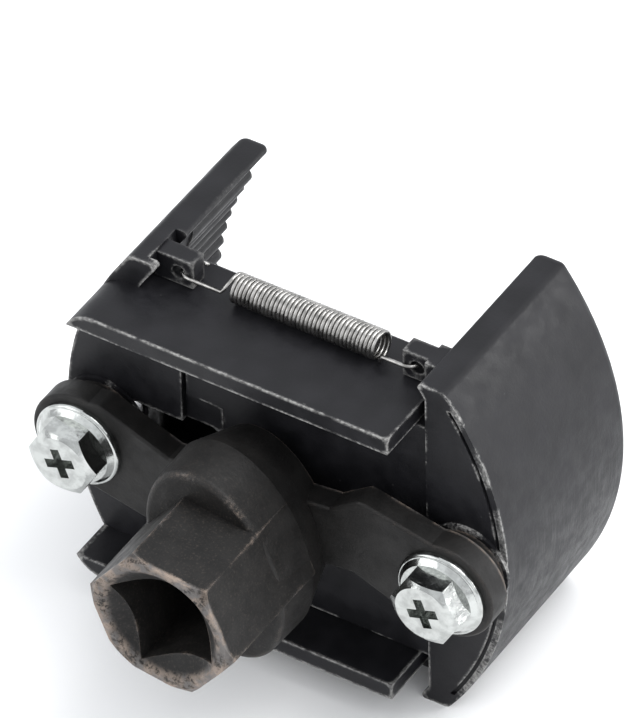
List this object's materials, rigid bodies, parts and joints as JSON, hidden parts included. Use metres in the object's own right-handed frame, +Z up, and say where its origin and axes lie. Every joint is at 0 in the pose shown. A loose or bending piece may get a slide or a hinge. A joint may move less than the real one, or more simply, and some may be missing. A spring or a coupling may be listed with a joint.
{
  "type": "oil filter wrench",
  "caption": "Adjustable jaw wrench for spin-on oil filters: a ridged channel jaw and a sliding tongue jaw, drawn together by springs and turned by a hex link with a square socket.",
  "frame": {"origin": "centre of the bounding box's bottom face, with the tool lying on the lower ends of its jaws, closed", "axes": "+X from the channel jaw to the tongue jaw, along the slide; -Y out of the hex, towards the ratchet; +Z up across the slide"},
  "size_m": [0.0768, 0.0664, 0.0604],
  "materials": {
    "jaw_enamel": "semi-gloss black on cast steel",
    "black_oxide": "black oxide on forged steel, brown at worn edges",
    "bright_plate": "bright zinc plate",
    "plain_steel": "turned steel",
    "black_steel": "blackened steel",
    "spring_wire": "drawn spring wire"
  },
  "bodies": {
    "channel_jaw": {"channel_jaw": "jaw_enamel", "upper_spring": "spring_wire", "lower_spring": "spring_wire"},
    "tongue_jaw": {"tongue_jaw": "jaw_enamel", "right_bolt": "bright_plate", "right_sleeve": "plain_steel", "right_washer": "black_steel"},
    "drive_link": {"drive_link": "black_oxide", "left_bolt": "bright_plate", "left_sleeve": "plain_steel", "left_washer": "black_steel", "slide_nut": "plain_steel"}
  },
  "joints": [
    {"name": "jaw_slide", "type": "slide", "parent": "channel_jaw", "child": "tongue_jaw", "axis": [1, 0, 0], "range_m": [0, 0.02], "stiffness_N_per_m": 1370, "springref_m": -0.003, "deforming": ["upper_spring", "lower_spring"]},
    {"name": "link_swing", "type": "hinge", "parent": "tongue_jaw", "child": "drive_link", "pos_m": [0.0303, -0.0068, 0.0302], "axis": [0, -1, 0], "range_deg": [-0.7, 0.7]}
  ]
}
